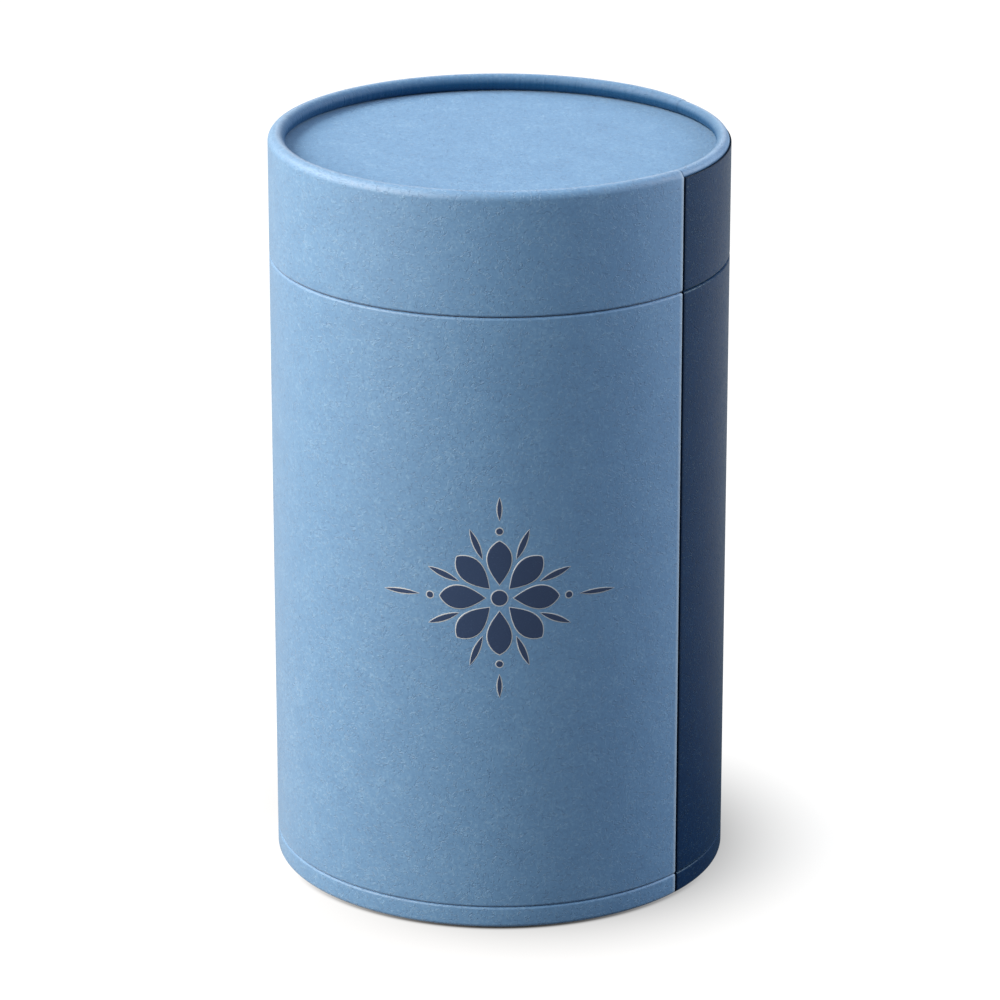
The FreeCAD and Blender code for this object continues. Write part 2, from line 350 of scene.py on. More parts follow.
@dataclass(frozen=True)
class TurnedPaper:
    """A thin paper carried round the tube's axis along a folded path."""

    node: str
    corners: tuple[Corner, ...]
    thickness: float
    girth_radius: float
    seam: Seam = Seam.CLOSED
    rim_start: float = math.inf
    papers: Papers = Papers()
    panel: SidePanel = SidePanel()

    @property
    def binds_rim(self) -> bool:
        """Whether the paper is the closed ring on the rim, on which the covers end."""
        return self.seam is Seam.CLOSED and math.isfinite(self.rim_start)

    @property
    def tongue_width(self) -> float:
        """How far a tongue reaches past the panel's edge, across the gap and under the neighbour."""
        return self.papers.lap_width + self.papers.seam_gap

    def span(self) -> tuple[float, float]:
        """Where the paper lies round the tube.

        Returns:
            Its start angle and its sweep, tongues included.
        """
        half_gap = self.papers.seam_gap / self.girth_radius / 2.0
        if self.seam is Seam.REBATE:
            return self.panel.end + half_gap, FULL_TURN - self.panel.sweep - 2.0 * half_gap
        if self.seam is Seam.TONGUE:
            overhang = half_gap + self.papers.lap_width / self.girth_radius
            return self.panel.start - overhang, self.panel.sweep + 2.0 * overhang
        return 0.0, FULL_TURN

    def turns(self) -> Array:
        """Angles round the tube at which the paper is sampled.

        Returns:
            Sorted angles, closer at the paper's upright edges or at the covers' edges on the rim's binding.
        """
        papers = self.papers
        start, sweep = self.span()
        width = sweep * self.girth_radius
        rows = [np.linspace(0.0, width, math.ceil(sweep / papers.turn_step) + 1)]
        if self.binds_rim:
            beside = papers.crease_reach * np.linspace(-1.0, 1.0, 2 * papers.rounding_rows + 1)
            ends = np.array([self.panel.start, self.panel.end]) * self.girth_radius
            rows.append((ends[:, None] + beside).reshape(-1))
        if self.seam is not Seam.CLOSED:
            rounding = edge_rows(papers.seam_rounding, papers.rounding_rows)
            beyond = self.tongue_width if self.seam is Seam.TONGUE else papers.lap_width
            edges = np.concatenate([rounding, beyond + rounding])
            rows += [edges, width - edges]
        return start + np.unique(np.round(np.concatenate(rows), WELD_DIGITS)) / self.girth_radius

    def build(self) -> bpy.types.Object:
        """Makes the paper.

        The outer face stands off the seat line by the paper's thickness and the inner face lies on it. A
        tongue is only as thick as a lap, and a rebate is raised by a lap. On the rim there are no tongues,
        and the paper is skived by a square law towards its upright edges, over a longer way and to almost
        nothing from the crest inwards. Within a rounding of a cut edge both faces run into one lip, as a
        quarter-round.

        Returns:
            The paper's object, with marks: painted shade in the seams' grooves, a painted highlight along an
            upright cut edge, and painted shade where the paper is drawn in on the inner side of the rim.
        """
        papers = self.papers
        path = FoldedPath(self.corners)
        cut = self.thickness / 2.0
        end_rows = np.append(edge_rows(cut, papers.rounding_rows), papers.crease_reach)
        rows = path.stations(papers.straight_step, papers.arc_step, end_rows)
        turns = self.turns()
        places, normals = path.at(rows)
        start, sweep = self.span()
        across = np.minimum(turns - start, start + sweep - turns) * self.girth_radius
        first_edge = np.inf if places[0, 0] < papers.edge_gap else 0.0
        last_edge = np.inf if places[-1, 0] < papers.edge_gap else 0.0
        along = np.minimum(rows + first_edge, path.length - rows + last_edge)
        fullness = rounded_rise(along, cut)[:, None] * np.ones_like(turns)
        on_rim = np.clip((rows - self.rim_start) / papers.cover, 0.0, 1.0)[:, None]
        outward = np.clip(normals[:, :1], 0.0, 1.0)
        top = np.full_like(fullness, self.thickness)
        seat, crease_shade, edge = np.zeros_like(fullness), np.zeros_like(fullness), np.zeros_like(fullness)
        if self.seam is not Seam.CLOSED:
            fullness = fullness * rounded_rise(across, papers.seam_rounding)
        if self.seam is Seam.TONGUE:
            inside = across - self.tongue_width
            top = between(papers.lap, top, rounded_rise(inside, papers.seam_rounding))
            # painted shade in the seam's groove beside the tongue
            crease_shade = nearness(np.minimum(inside, (path.length - rows)[:, None]), papers.crease_reach)
        if self.seam is Seam.REBATE:
            over_tongue = rounded_rise(papers.lap_width - across, papers.seam_rounding)
            seat = (1.0 - on_rim) * (papers.lap + papers.glue) * over_tongue
            skive = between(papers.crest_skive_share, papers.skive_share, outward)
            reach = between(papers.crest_skive_width, papers.skive_width, outward)
            top = top * (1.0 - on_rim * skive * nearness(across, reach) ** 2)
            # painted highlight: a pale strip along the upright cut edge
            edge = outward * nearness(across, papers.pale_edge)
        if self.binds_rim:
            # painted shade in the grooves on the rim's binding
            crease_shade = self.rim_crease(rows, normals, turns)
        lip = between(seat, top, papers.lip_share * (1.0 - on_rim))
        outer = self.stand_off(places, normals, between(lip, top, fullness), turns)
        inner = self.stand_off(places, normals, between(lip, seat, fullness), turns)
        # painted shade on the rim's inner side, where the paper is drawn in
        drawn_in = np.where(normals[:, :1] < 0.0, np.sqrt(np.clip(1.0 - normals[:, 1:], 0.0, 1.0)), 0.0)
        inner_rim_shade = on_rim * drawn_in * np.ones_like(turns)
        return closed_sheet(
            self.node, outer, inner, {Mark.CREASE_SHADE: crease_shade, Mark.HIGHLIT_EDGE: edge, Mark.INNER_RIM_SHADE: inner_rim_shade}
        )

    def rim_crease(self, rows: Array, normals: Array, turns: Array) -> Array:
        """Painted shade in the grooves in which the covers end on the rim's binding.

        One line of it runs above the side panel's top edge. Two run over the rim beside the wrap's upright
        edges, deep on the outer side, faint on the crest and slight on the inner side.

        Args:
            rows: Distances along the path.
            normals: Outward unit normals of the path.
            turns: Angles round the tube.

        Returns:
            Values from 0 to 1 for each distance and angle.
        """
        papers = self.papers
        past_panel = np.minimum(turns - self.panel.start, self.panel.end - turns)
        beside = nearness(np.abs(past_panel) * self.girth_radius, papers.crease_reach)
        above = nearness(rows - self.rim_start, papers.crease_reach)
        outward, inward = np.clip(normals[:, 0], 0.0, 1.0), np.clip(-normals[:, 0], 0.0, 1.0)
        depth = between(papers.crest_crease_share, 1.0, outward)
        depth = depth + (papers.inner_crease_share - papers.crest_crease_share) * inward
        return np.maximum(above[:, None], depth[:, None] * beside)

    @staticmethod
    def stand_off(places: Array, normals: Array, offset: Array, turns: Array) -> Array:
        """Points at offsets from the seat line, as a grid of seat points and angles."""
        radius, height = (places[:, [axis]] + normals[:, [axis]] * offset for axis in (0, 1))
        return around(radius, turns, height)


@dataclass(frozen=True)
class Ramp:
    """Two ends of a range, the values that they become, and the way between them."""

    low: float
    high: float
    at_low: Any = 0.0
    at_high: Any = 1.0
    law: Law = Law.SMOOTH


@dataclass(frozen=True)
class Grain:
    """Soft noise: size of a feature in metres, which of the like patterns, octaves and their strength."""

    size: float
    seed: float
    detail: float = 2.0
    rough: float = 0.5


@dataclass(frozen=True)
class Strands:
    """Loose curling fibres: where one noise crosses its middle, kept only where another is above a level."""

    curl: Grain
    width: float
    cover: float
    patch_share: float = 0.8
    patch_step: float = 0.5
    patch_edge: float = 0.06

    @property
    def patch(self) -> Grain:
        """The plain noise that says where the fibres show."""
        return Grain(self.curl.size * self.patch_share, self.curl.seed + self.patch_step, 0.0)


@dataclass(frozen=True)
class NodeSheet:
    """Short calls for the node tree of a material or of the surroundings."""

    owner: bpy.types.ID

    @classmethod
    def new(cls, name: str) -> "NodeSheet":
        """Starts a material with a plain surface shader.

        Args:
            name: Name of the material.

        Returns:
            The material's sheet.
        """
        material = bpy.data.materials.new(name)
        material.use_nodes = True
        return cls(material)

    def fill(self, node: bpy.types.Node, joins: dict[Any, Any]) -> None:
        """Links outputs to a node's inputs, or sets the inputs' own values.

        Args:
            node: The node.
            joins: Outputs or plain values, by the name or place of the input.
        """
        for socket, value in joins.items():
            if isinstance(value, Socket):
                self.owner.node_tree.links.new(value, node.inputs[socket])
            else:
                node.inputs[socket].default_value = value

    def add(self, kind: str, joins: dict[Any, Any], **settings: Any) -> bpy.types.Node:
        """Adds a node.

        Args:
            kind: Type of the node, without its common prefix.
            joins: Outputs or plain values for its inputs, by name or place.
            **settings: Properties of the node.

        Returns:
            The new node.
        """
        node = self.owner.node_tree.nodes.new("ShaderNode" + kind)
        for key, value in settings.items():
            setattr(node, key, value)
        self.fill(node, joins)
        return node

    def place(self) -> Socket:
        """Object coordinates."""
        return self.add("TexCoord", {}).outputs["Object"]

    def noise(self, grain: Grain, where: Socket | None = None) -> Socket:
        """Soft noise.

        Args:
            grain: The pattern.
            where: Coordinates to use in place of the object's.

        Returns:
            Values about the middle.
        """
        joins = {
            "Vector": where or self.place(),
            "W": grain.seed,
            "Scale": 1.0 / grain.size,
            "Detail": grain.detail,
            "Roughness": grain.rough,
        }
        return self.add("TexNoise", joins, noise_dimensions="4D").outputs[0]

    def round_the_tube(self, radius: float) -> Socket:
        """Coordinates that change only round the tube.

        Args:
            radius: Distance from the axis to which each place is carried, level.

        Returns:
            The place without its height, made as long as the radius.
        """
        level = self.vector("MULTIPLY", self.place(), (1.0, 1.0, 0.0)).outputs[0]
        outward = self.vector("NORMALIZE", level).outputs[0]
        return self.add("VectorMath", {0: outward, "Scale": radius}, operation="SCALE").outputs[0]

    def vector(self, operation: str, first: Socket, second: Any = (0.0, 0.0, 0.0)) -> bpy.types.Node:
        """One step on two vectors."""
        return self.add("VectorMath", {0: first, 1: second}, operation=operation)

    def mark(self, mark: Mark) -> Socket:
        """Value of a point attribute, 0 where a mesh has none."""
        return self.add("Attribute", {}, attribute_name=mark.value).outputs["Fac"]

    def sums(self, operation: str, first: Any, second: Any = 0.0) -> Socket:
        """One arithmetic step on two values."""
        return self.add("Math", {0: first, 1: second}, operation=operation).outputs[0]

    def ramp(self, value: Socket, ramp: Ramp) -> Socket:
        """Value carried from one range to another and held at the ends.

        Args:
            value: The value.
            ramp: The two ranges and the way between their ends.

        Returns:
            The new value.
        """
        joins = {
            "Value": value,
            "From Min": ramp.low,
            "From Max": ramp.high,
            "To Min": ramp.at_low,
            "To Max": ramp.at_high,
        }
        return self.add("MapRange", joins, interpolation_type=ramp.law.value).outputs[0]

    def uneven(self, noise: Socket, middle: float, spread: float) -> Socket:
        """Value that goes with a noise from a spread below its middle to a spread above it."""
        return self.ramp(noise, Ramp(NOISE_LOW, NOISE_HIGH, middle - spread, middle + spread))

    def tint(self, share: Socket, first: Any, second: Any) -> Socket:
        """Second colour laid over the first by a share."""
        joins = {MIX_SHARE: share, MIX_FIRST: first, MIX_SECOND: second}
        return self.add("Mix", joins, data_type="RGBA").outputs[MIX_RESULT]

    def fibres(self, strands: Strands) -> Socket:
        """Loose curling fibres.

        Args:
            strands: Their pattern.

        Returns:
            1 on a fibre, 0 off it.
        """
        aside = self.sums("ABSOLUTE", self.sums("SUBTRACT", self.noise(strands.curl), NOISE_MIDDLE))
        line = self.ramp(aside, Ramp(0.0, strands.width, 1.0, 0.0))
        full_cover = strands.cover + strands.patch_edge
        patches = self.ramp(self.noise(strands.patch), Ramp(strands.cover, full_cover))
        return self.sums("MULTIPLY", line, patches)

    def surface(self, joins: dict[str, Any]) -> None:
        """Links outputs to the surface shader, or sets its values."""
        self.fill(self.owner.node_tree.nodes["Principled BSDF"], joins)

    def face(self, colour: Any, rough: Socket, specular: float, height: Socket, relief: float) -> None:
        """Sets what every finish has.

        Args:
            colour: Colour of the face.
            rough: Roughness of the face.
            specular: Level of its mirrored light.
            height: Heights of its bumps, in steps of the relief.
            relief: One step, in metres.
        """
        bump = self.add("Bump", {"Height": height, "Distance": relief, "Strength": 1.0})
        self.surface({"Base Color": colour, "Roughness": rough, "Normal": bump.outputs[0]})
        self.surface({"Specular IOR Level": specular})

    def dress(self, thing: bpy.types.Object) -> None:
        """Makes this the only material of an object."""
        thing.data.materials.clear()
        thing.data.materials.append(self.owner)


@dataclass(frozen=True)
class CoverPaper:
    """Uncoated felt-marked cover paper, dyed through, with loose fibres on its face."""

    name: str
    colour: Colour
    pale: Colour
    deep: Colour
    # painted shade: colour laid over grooves, pleats and the rim's inner side, where shade falls
    painted_shade: Colour
    # colour of a painted highlight along the upright cut edge
    edge_highlight: Colour
    felt: Grain = Grain(size=0.0006, seed=1.0, detail=3.0, rough=0.6)
    felt_strength: float = 0.95
    cloud: Grain = Grain(size=0.006, seed=2.0, detail=3.0, rough=0.55)
    cloud_strength: float = 0.36
    mark_span: float = 0.25
    mark_share: float = 0.5
    pale_strands: Strands = Strands(Grain(size=0.0012, seed=3.0, detail=1.0), width=0.03, cover=0.5)
    deep_strands: Strands = Strands(Grain(size=0.0012, seed=7.0, detail=1.0), width=0.03, cover=0.5)
    strand_share: float = 0.36
    pleat: Grain = Grain(size=0.0016, seed=5.0, rough=0.6)
    pleat_radius: float = 0.048
    pleat_ramp: Ramp = Ramp(0.42, 0.62)
    pleat_lift: float = 1.2
    # shares of painted shade on the pleats and on the rim's inner side
    pleat_shade: float = 0.12
    gather_shade: float = 0.95
    relief: float = 0.00004
    roughness: float = 0.62
    unevenness: float = 0.06
    sheen: float = 0.25
    sheen_roughness: float = 0.45
    specular: float = 1.0
    open_gloss: Colour = WHITE
    # mirrored light is dimmed to this tint in grooves and on the rim's inner side, as painted shade
    shaded_gloss: Colour = (0.06, 0.18, 0.36, 1.0)

    def material(self) -> NodeSheet:
        """Makes the finish: felt marks, fibres, painted shade with dimmed gloss in the grooves and on the
        rim's inner side, a painted highlight along the cut edge, and relief.

        Returns:
            The finish, which reads the marks of the paper that it dresses.
        """
        nodes = NodeSheet.new(self.name)
        felt, cloud = nodes.noise(self.felt), nodes.noise(self.cloud)
        pale_fibres, deep_fibres = nodes.fibres(self.pale_strands), nodes.fibres(self.deep_strands)
        inner_rim_shade, crease_shade = nodes.mark(Mark.INNER_RIM_SHADE), nodes.mark(Mark.CREASE_SHADE)
        round_rim = nodes.noise(self.pleat, nodes.round_the_tube(self.pleat_radius))
        pleats = nodes.sums("MULTIPLY", nodes.ramp(round_rim, self.pleat_ramp), inner_rim_shade)
        marks = nodes.sums(
            "ADD",
            nodes.sums("MULTIPLY", nodes.sums("SUBTRACT", felt, NOISE_MIDDLE), self.felt_strength),
            nodes.sums("MULTIPLY", nodes.sums("SUBTRACT", cloud, NOISE_MIDDLE), self.cloud_strength),
        )
        layers = (
            (nodes.ramp(marks, Ramp(0.0, self.mark_span, 0.0, self.mark_share)), self.pale),
            (nodes.ramp(marks, Ramp(-self.mark_span, 0.0, self.mark_share, 0.0)), self.deep),
            (nodes.sums("MULTIPLY", pale_fibres, self.strand_share), self.pale),
            (nodes.sums("MULTIPLY", deep_fibres, self.strand_share), self.deep),
            # painted shade on the rim's inner side and on its pleats
            (nodes.sums("MULTIPLY", inner_rim_shade, self.gather_shade), self.painted_shade),
            (nodes.sums("MULTIPLY", pleats, self.pleat_shade), self.painted_shade),
            # painted highlight along the upright cut edge
            (nodes.mark(Mark.HIGHLIT_EDGE), self.edge_highlight),
            # painted shade in the seams' grooves
            (crease_shade, self.painted_shade),
        )
        colour: Any = self.colour
        for share, laid_over in layers:
            colour = nodes.tint(share, colour, laid_over)
        lift = nodes.sums("ADD", felt, nodes.sums("SUBTRACT", pale_fibres, deep_fibres))
        lift = nodes.sums("SUBTRACT", lift, nodes.sums("MULTIPLY", pleats, self.pleat_lift))
        rough = nodes.uneven(felt, self.roughness, self.unevenness)
        # painted shade in the mirrored light of the grooves and the rim's inner side
        gloss = nodes.tint(nodes.sums("MAXIMUM", inner_rim_shade, crease_shade), self.open_gloss, self.shaded_gloss)
        nodes.face(colour, rough, self.specular, lift, self.relief)
        nodes.surface({"Specular Tint": gloss, "Sheen Tint": gloss})
        nodes.surface({"Sheen Weight": self.sheen, "Sheen Roughness": self.sheen_roughness})
        return nodes


@dataclass(frozen=True)
class LiningPaper:
    """Plain off-white lining paper with a soft tooth."""

    name: str = "off_white_lining"
    colour: Colour = (0.80, 0.78, 0.72, 1.0)
    shade: Colour = (0.70, 0.67, 0.60, 1.0)
    tooth: Grain = Grain(size=0.0004, seed=11.0, detail=3.0, rough=0.6)
    cloud: Grain = Grain(size=0.008, seed=12.0, detail=3.0)
    cloud_ramp: Ramp = Ramp(0.35, 0.7, 0.0, 0.35)
    strands: Strands = Strands(Grain(size=0.0022, seed=13.0, detail=1.0), width=0.02, cover=0.56)
    strand_share: float = 0.35
    relief: float = 0.00002
    roughness: float = 0.85
    unevenness: float = 0.05
    specular: float = 0.3

    def material(self) -> NodeSheet:
        """Makes the finish: a faint cloud of a warmer shade, sparse fibres and a fine tooth.

        Returns:
            The finish.
        """
        nodes = NodeSheet.new(self.name)
        tooth = nodes.noise(self.tooth)
        cloud = nodes.ramp(nodes.noise(self.cloud), self.cloud_ramp)
        fibres = nodes.sums("MULTIPLY", nodes.fibres(self.strands), self.strand_share)
        colour = nodes.tint(fibres, nodes.tint(cloud, self.colour, self.shade), self.shade)
        rough = nodes.uneven(tooth, self.roughness, self.unevenness)
        nodes.face(colour, rough, self.specular, tooth, self.relief)
        return nodes


@dataclass(frozen=True)
class GreyBoard:
    """Grey recycled board with flecks, wound in plies that show as faint slanting lines."""

    name: str = "grey_wound_board"
    colour: Colour = (0.33, 0.30, 0.26, 1.0)
    light_fleck: Colour = (0.52, 0.49, 0.44, 1.0)
    dark_fleck: Colour = (0.17, 0.15, 0.13, 1.0)
    flecks: Grain = Grain(size=0.0012, seed=21.0, detail=4.0, rough=0.65)
    fleck_ramp: Ramp = Ramp(0.55, 0.75, 0.0, 0.7)
    dark_strands: Strands = Strands(Grain(size=0.0012, seed=22.0, detail=1.0), width=0.05, cover=0.52)
    ply_pitch: float = 0.06
    ply_ramp: Ramp = Ramp(0.0, 0.012, 0.6, 0.0)
    relief: float = 0.00005
    roughness: float = 0.885
    unevenness: float = -0.065
    specular: float = 0.25
    # painted shade: near-black blue on the board above a height, where it shows in the crevice under the rim
    crevice_shade: Colour = (0.010, 0.045, 0.110, 1.0)
    shaded_above: float = math.inf

    def material(self) -> NodeSheet:
        """Makes the finish: flecks, a helical ply line from angle and height, and painted shade on its top if
        it has one.

        Returns:
            The finish.
        """
        nodes = NodeSheet.new(self.name)
        flecks = nodes.noise(self.flecks)
        right, back, height = nodes.add("SeparateXYZ", {0: nodes.place()}).outputs
        turns = nodes.sums("DIVIDE", nodes.sums("ARCTAN2", back, right), FULL_TURN)
        climb = nodes.sums("DIVIDE", height, self.ply_pitch)
        line = nodes.ramp(nodes.sums("FRACT", nodes.sums("ADD", climb, turns)), self.ply_ramp)
        dark = nodes.sums("MAXIMUM", nodes.fibres(self.dark_strands), line)
        colour = nodes.tint(nodes.ramp(flecks, self.fleck_ramp), self.colour, self.light_fleck)
        colour = nodes.tint(dark, colour, self.dark_fleck)
        # painted shade on the board's top
        if math.isfinite(self.shaded_above):
            colour = nodes.tint(nodes.sums("GREATER_THAN", height, self.shaded_above), colour, self.crevice_shade)
        rough = nodes.uneven(flecks, self.roughness, self.unevenness)
        nodes.face(colour, rough, self.specular, nodes.sums("SUBTRACT", flecks, line), self.relief)
        return nodes


@dataclass(frozen=True)
class FoilStamp:
    """Satin stamping foil pressed into felt-marked paper, so that the felt shows through as fine pits."""

    name: str
    colour: Colour
    worn: Colour
    roughness: float
    unevenness: float = 0.1
    specular: float = 0.5
    pits: Grain = Grain(size=0.0003, seed=31.0, detail=3.0, rough=0.6)
    pit_ramp: Ramp = Ramp(0.5, 0.75, 0.0, 0.6)
    cloud: Grain = Grain(size=0.0036, seed=32.0)
    cloud_ramp: Ramp = Ramp(NOISE_LOW, NOISE_HIGH, 0.3, 1.0)
    relief: float = 0.00001

    def material(self) -> NodeSheet:
        """Makes the finish: foil with fine worn pits.

        Returns:
            The finish.
        """
        nodes = NodeSheet.new(self.name)
        pits = nodes.noise(self.pits)
        cloud = nodes.ramp(nodes.noise(self.cloud), self.cloud_ramp)
        worn = nodes.sums("MULTIPLY", nodes.ramp(pits, self.pit_ramp), cloud)
        rough = nodes.uneven(pits, self.roughness, self.unevenness)
        nodes.face(nodes.tint(worn, self.colour, self.worn), rough, self.specular, pits, self.relief)
        return nodes


@dataclass(frozen=True)
class Finishes:
    """Every finish of the box, made once."""

    light_blue: NodeSheet
    pressed_blue: NodeSheet
    navy: NodeSheet
    lining: NodeSheet
    board: NodeSheet
    rim_board: NodeSheet
    foil: NodeSheet
    foil_edge: NodeSheet

    @classmethod
    def mixed(cls) -> "Finishes":
        """Makes all the finishes. The lid's board is painted dark blue from its recessed top upwards, as
        painted shade in the crevice under the rim.

        Returns:
            The finishes.
        """
        light_blue = CoverPaper(
            name="light_blue_felt_paper",
            colour=(0.089, 0.235, 0.455, 1.0),
            pale=(0.192, 0.378, 0.600, 1.0),
            deep=(0.052, 0.150, 0.320, 1.0),
            # colours of painted shade, and of a painted highlight along the cut edge
            painted_shade=(0.004, 0.038, 0.105, 1.0),
            edge_highlight=(0.40, 0.53, 0.68, 1.0),
        )
        navy = CoverPaper(
            name="navy_felt_paper",
            colour=(0.001, 0.021, 0.080, 1.0),
            pale=(0.008, 0.044, 0.130, 1.0),
            deep=(0.001, 0.011, 0.047, 1.0),
            # colours of painted shade, and of a painted highlight along the cut edge
            painted_shade=(0.0, 0.003, 0.014, 1.0),
            edge_highlight=(0.05, 0.09, 0.17, 1.0),
            roughness=0.42,
            sheen=0.15,
            sheen_roughness=0.3,
            specular=0.28,
            open_gloss=(0.55, 0.92, 1.0, 1.0),
        )
        foil = FoilStamp("navy_foil", (0.014, 0.038, 0.105, 1.0), (0.04, 0.085, 0.19, 1.0), roughness=0.44)
        foil_edge = FoilStamp("pale_foil", (0.46, 0.52, 0.58, 1.0), (0.30, 0.40, 0.52, 1.0), roughness=0.52)
        return cls(
            light_blue=light_blue.material(),
            pressed_blue=replace(
                light_blue, name="pressed_blue_felt_paper", sheen=0.12, specular=0.6
            ).material(),
            navy=navy.material(),
            lining=LiningPaper().material(),
            board=GreyBoard().material(),
            # painted shade on the lid board's top, in the crevice under the rim
            rim_board=GreyBoard("shaded_rim_board", shaded_above=top_of("lid_top_disc")).material(),
            foil=foil.material(),
            foil_edge=foil_edge.material(),
        )

    def of_slot(self, slot: Slot) -> NodeSheet:
        """The usual finish of a record slot.

        Args:
            slot: The slot.

        Returns:
            Its finish.
        """
        sheets = {
            Slot.LIGHT_BLUE: self.light_blue,
            Slot.NAVY: self.navy,
            Slot.LINING: self.lining,
            Slot.BOARD: self.board,
        }
        return sheets[slot]


@dataclass(frozen=True)
class TubeSizes:
    """Radii of the nested tubes, from the outside inwards, and heights read from the frame."""

    papers: Papers = Papers()
    outer: float = 0.050
    lid_board: float = 0.0015
    neck_board: float = 0.0015
    neck_clearance: float = 0.0003
    board_fold: float = 0.0002
    rim_roll: float = 0.00185
    rim_tuck: float = 0.0006
    rim_under: float = math.radians(75.0)
    seam_height: float = field(default_factory=lambda: foot_of("lid_wrap"))
    total_height: float = field(default_factory=lambda: top_of("lid_wrap"))
    body_low: float = field(default_factory=lambda: foot_of("body_wrap"))
    body_top: float = field(default_factory=lambda: top_of("body_wrap"))
    base_height: float = field(default_factory=lambda: top_of("base_band"))
    neck_top: float = field(default_factory=lambda: top_of("neck_facing"))

    @property
    def cover_seat(self) -> float:
        """Radius on which the cover papers lie."""
        return self.outer - self.papers.cover

    @property
    def lid_flap_seat(self) -> float:
        """Radius inside the lid on which its turn-in and lining lie."""
        return self.cover_seat - 2.0 * self.papers.glue - self.lid_board

    @property
    def neck_outer(self) -> float:
        """Radius over the neck's facing."""
        return self.lid_flap_seat - self.papers.cover - self.neck_clearance

    @property
    def neck_facing_seat(self) -> float:
        """Radius on which the neck's facing lies."""
        return self.neck_outer - self.papers.lining

    @property
    def lining_seat(self) -> float:
        """Radius inside the inner tube on which its lining lies."""
        return self.neck_facing_seat - 2.0 * self.papers.glue - self.neck_board

    @property
    def cavity(self) -> float:
        """Clear radius inside the lining."""
        return self.lining_seat - self.papers.lining

    @property
    def roll_height(self) -> float:
        """Height of the rolled rim's centre line."""
        return self.total_height - self.rim_roll

    def over_rim(self, seat: float) -> tuple[Corner, ...]:
        """Path over the rolled rim and under its inner side.

        Args:
            seat: Radius, about the roll's centre line, on which the paper lies.

        Returns:
            The corners of the crest, of the inner side's turn under, and the end under the roll.
        """
        centre = self.outer - self.rim_roll
        crest = self.roll_height + seat
        reach = seat * math.tan(self.rim_under / 2.0)
        inwards, downwards = seat * math.cos(self.rim_under), seat * math.sin(self.rim_under)
        return (
            Corner(centre + seat, crest, seat),
            Corner(centre - seat, crest, seat),
            Corner(centre - seat, self.roll_height - reach, seat),
            Corner(centre - inwards, self.roll_height - downwards),
        )


@dataclass
class SubAssembly:
    """Papers and boards that move with one body."""

    sizes: TubeSizes
    finishes: Finishes
    body: Body = Body.BOX

    def set_on_body(self, name: str, made: bpy.types.Object, slot: Slot, finish: NodeSheet) -> None:
        """Dresses a piece, sets it on the body and reports it.

        Args:
            name: Name of the piece.
            made: Its object.
            slot: Its record slot; not used.
            finish: Its finish.
        """
        finish.dress(made)
        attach(made, self.body.value)
        log.info("%s: %d faces on %s", name, len(made.data.polygons), self.body.value)

    def lay(self, paper: TurnedPaper, slot: Slot, finish: NodeSheet | None = None) -> None:
        """Builds a paper in place of its node.

        Args:
            paper: The paper to build.
            slot: The record slot of its paper.
            finish: The paper's finish, where it isn't its slot's usual one.
        """
        made = paper.build()
        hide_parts(paper.node)
        self.set_on_body(paper.node, made, slot, finish or self.finishes.of_slot(slot))

    def dress_boards(self, finish: NodeSheet, nodes: Sequence[str]) -> None:
        """Gives boards of the frame their finish.

        Args:
            finish: The finish.
            nodes: Names of the boards.
        """
        for node in nodes:
            finish.dress(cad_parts[node])
            log.info("%s: frame's board dressed", node)

    def wall_lining(self, node: str, radius: float) -> TurnedPaper:
        """A lining inside a wall, from the top of its node to the foot."""
        corners = (Corner(radius, top_of(node)), Corner(radius, foot_of(node)))
        return TurnedPaper(node, corners, self.sizes.papers.lining, radius)

    def disc(self, node: str, radius: float, faces_up: bool, thickness: float) -> TurnedPaper:
        """A round sheet in the place of its node, finished side up or down.

        Args:
            node: Name of the node that it stands for.
            radius: Radius of the sheet.
            faces_up: Whether its outer face looks up.
            thickness: Thickness of the sheet.

        Returns:
            The sheet, with a path from rim to centre or from centre to rim.
        """
        if faces_up:
            corners = (Corner(radius, foot_of(node)), Corner(0.0, foot_of(node)))
        else:
            corners = (Corner(0.0, top_of(node)), Corner(radius, top_of(node)))
        return TurnedPaper(node, corners, thickness, radius)


